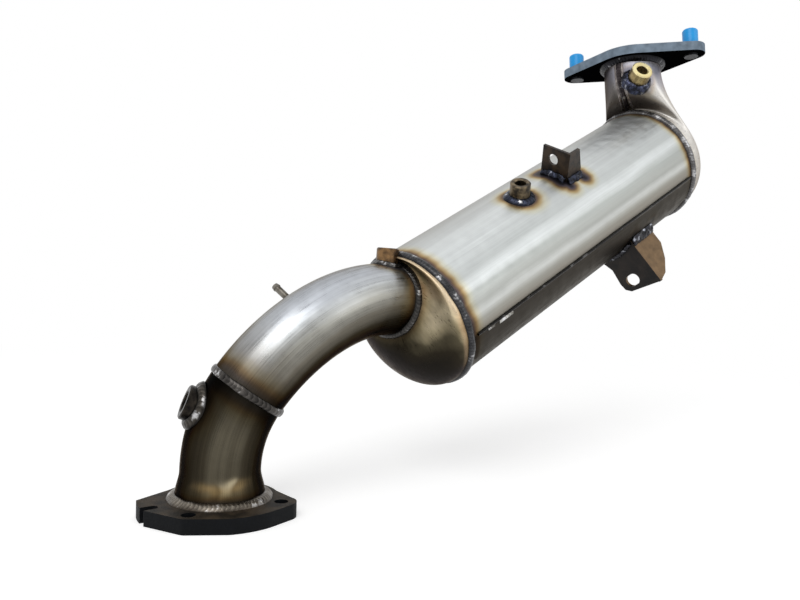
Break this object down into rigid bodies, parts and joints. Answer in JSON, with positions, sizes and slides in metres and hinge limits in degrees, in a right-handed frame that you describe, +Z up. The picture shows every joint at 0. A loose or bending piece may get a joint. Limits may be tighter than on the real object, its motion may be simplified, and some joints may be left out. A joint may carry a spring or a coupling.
{
  "type": "diesel particulate filter",
  "caption": "Diesel particulate filter: bent flanged inlet pipe, welded can holding an oxidation brick and a filter brick, elbow outlet cone with a stud flange, sensor bosses and brackets.",
  "frame": {"origin": "centre of the inlet flange's bore on its mating face", "axes": "+Z up out of the inlet flange into the pipe, +X along the can seen from above, so the can rises in the XZ plane"},
  "size_m": [0.6781, 0.1561, 0.4689],
  "materials": {
    "flange_black": "black oxide, worn at the edges",
    "pipe_steel": "drawn stainless tube, grey-brown from heat",
    "cone_steel": "pressed stainless, straw heat tint",
    "can_steel": "satin stainless with lengthwise streaks",
    "boss_steel": "turned steel, bronze heat tint",
    "gold_boss": "plated turned face",
    "weld_bead": "rippled weld, dark grey with bright crests",
    "weld_dark": "blue-black weld with bright spots",
    "bracket_steel": "scaled black-brown sheet steel",
    "outlet_flange_steel": "blue-grey plate, black underside",
    "cap_blue": "moulded protective cap",
    "cordierite": "extruded honeycomb ceramic, washcoated",
    "silicon_carbide": "segmented honeycomb ceramic",
    "mat_fibre": "needled ceramic fibre mat",
    "mesh_wire": "knitted wire ring"
  },
  "bodies": {
    "root": {"inlet_flange": "flange_black", "inlet_flange_weld": "weld_bead", "lower_pipe": "pipe_steel", "lambda_boss": "boss_steel", "lambda_boss_weld": "weld_bead", "pipe_joint_weld": "weld_bead", "upper_pipe": "pipe_steel", "pressure_nipple": "pipe_steel", "pressure_nipple_weld": "weld_bead", "pipe_sensor_boss": "boss_steel", "pipe_sensor_boss_weld": "weld_bead", "inlet_cone": "cone_steel", "inlet_cone_pipe_weld": "weld_bead", "inlet_cone_can_weld": "weld_bead", "can_shell": "can_steel", "can_seam_weld": "weld_bead", "can_sensor_boss": "boss_steel", "can_sensor_boss_weld": "weld_dark", "upper_bracket": "bracket_steel", "upper_bracket_weld": "weld_dark", "lower_bracket": "bracket_steel", "lower_bracket_weld": "weld_dark", "oxidation_brick": "cordierite", "oxidation_mat": "mat_fibre", "filter_brick": "silicon_carbide", "filter_mat": "mat_fibre", "mat_rings": "mesh_wire", "outlet_cone_near_half": "cone_steel", "outlet_cone_far_half": "cone_steel", "outlet_cone_seam_weld": "weld_bead", "outlet_cone_can_weld": "weld_bead", "outlet_sensor_boss": "gold_boss", "outlet_sensor_boss_weld": "weld_dark", "outlet_flange_weld": "weld_bead", "outlet_flange": "outlet_flange_steel", "outlet_studs": "outlet_flange_steel", "stud_caps": "cap_blue"}
  },
  "joints": []
}
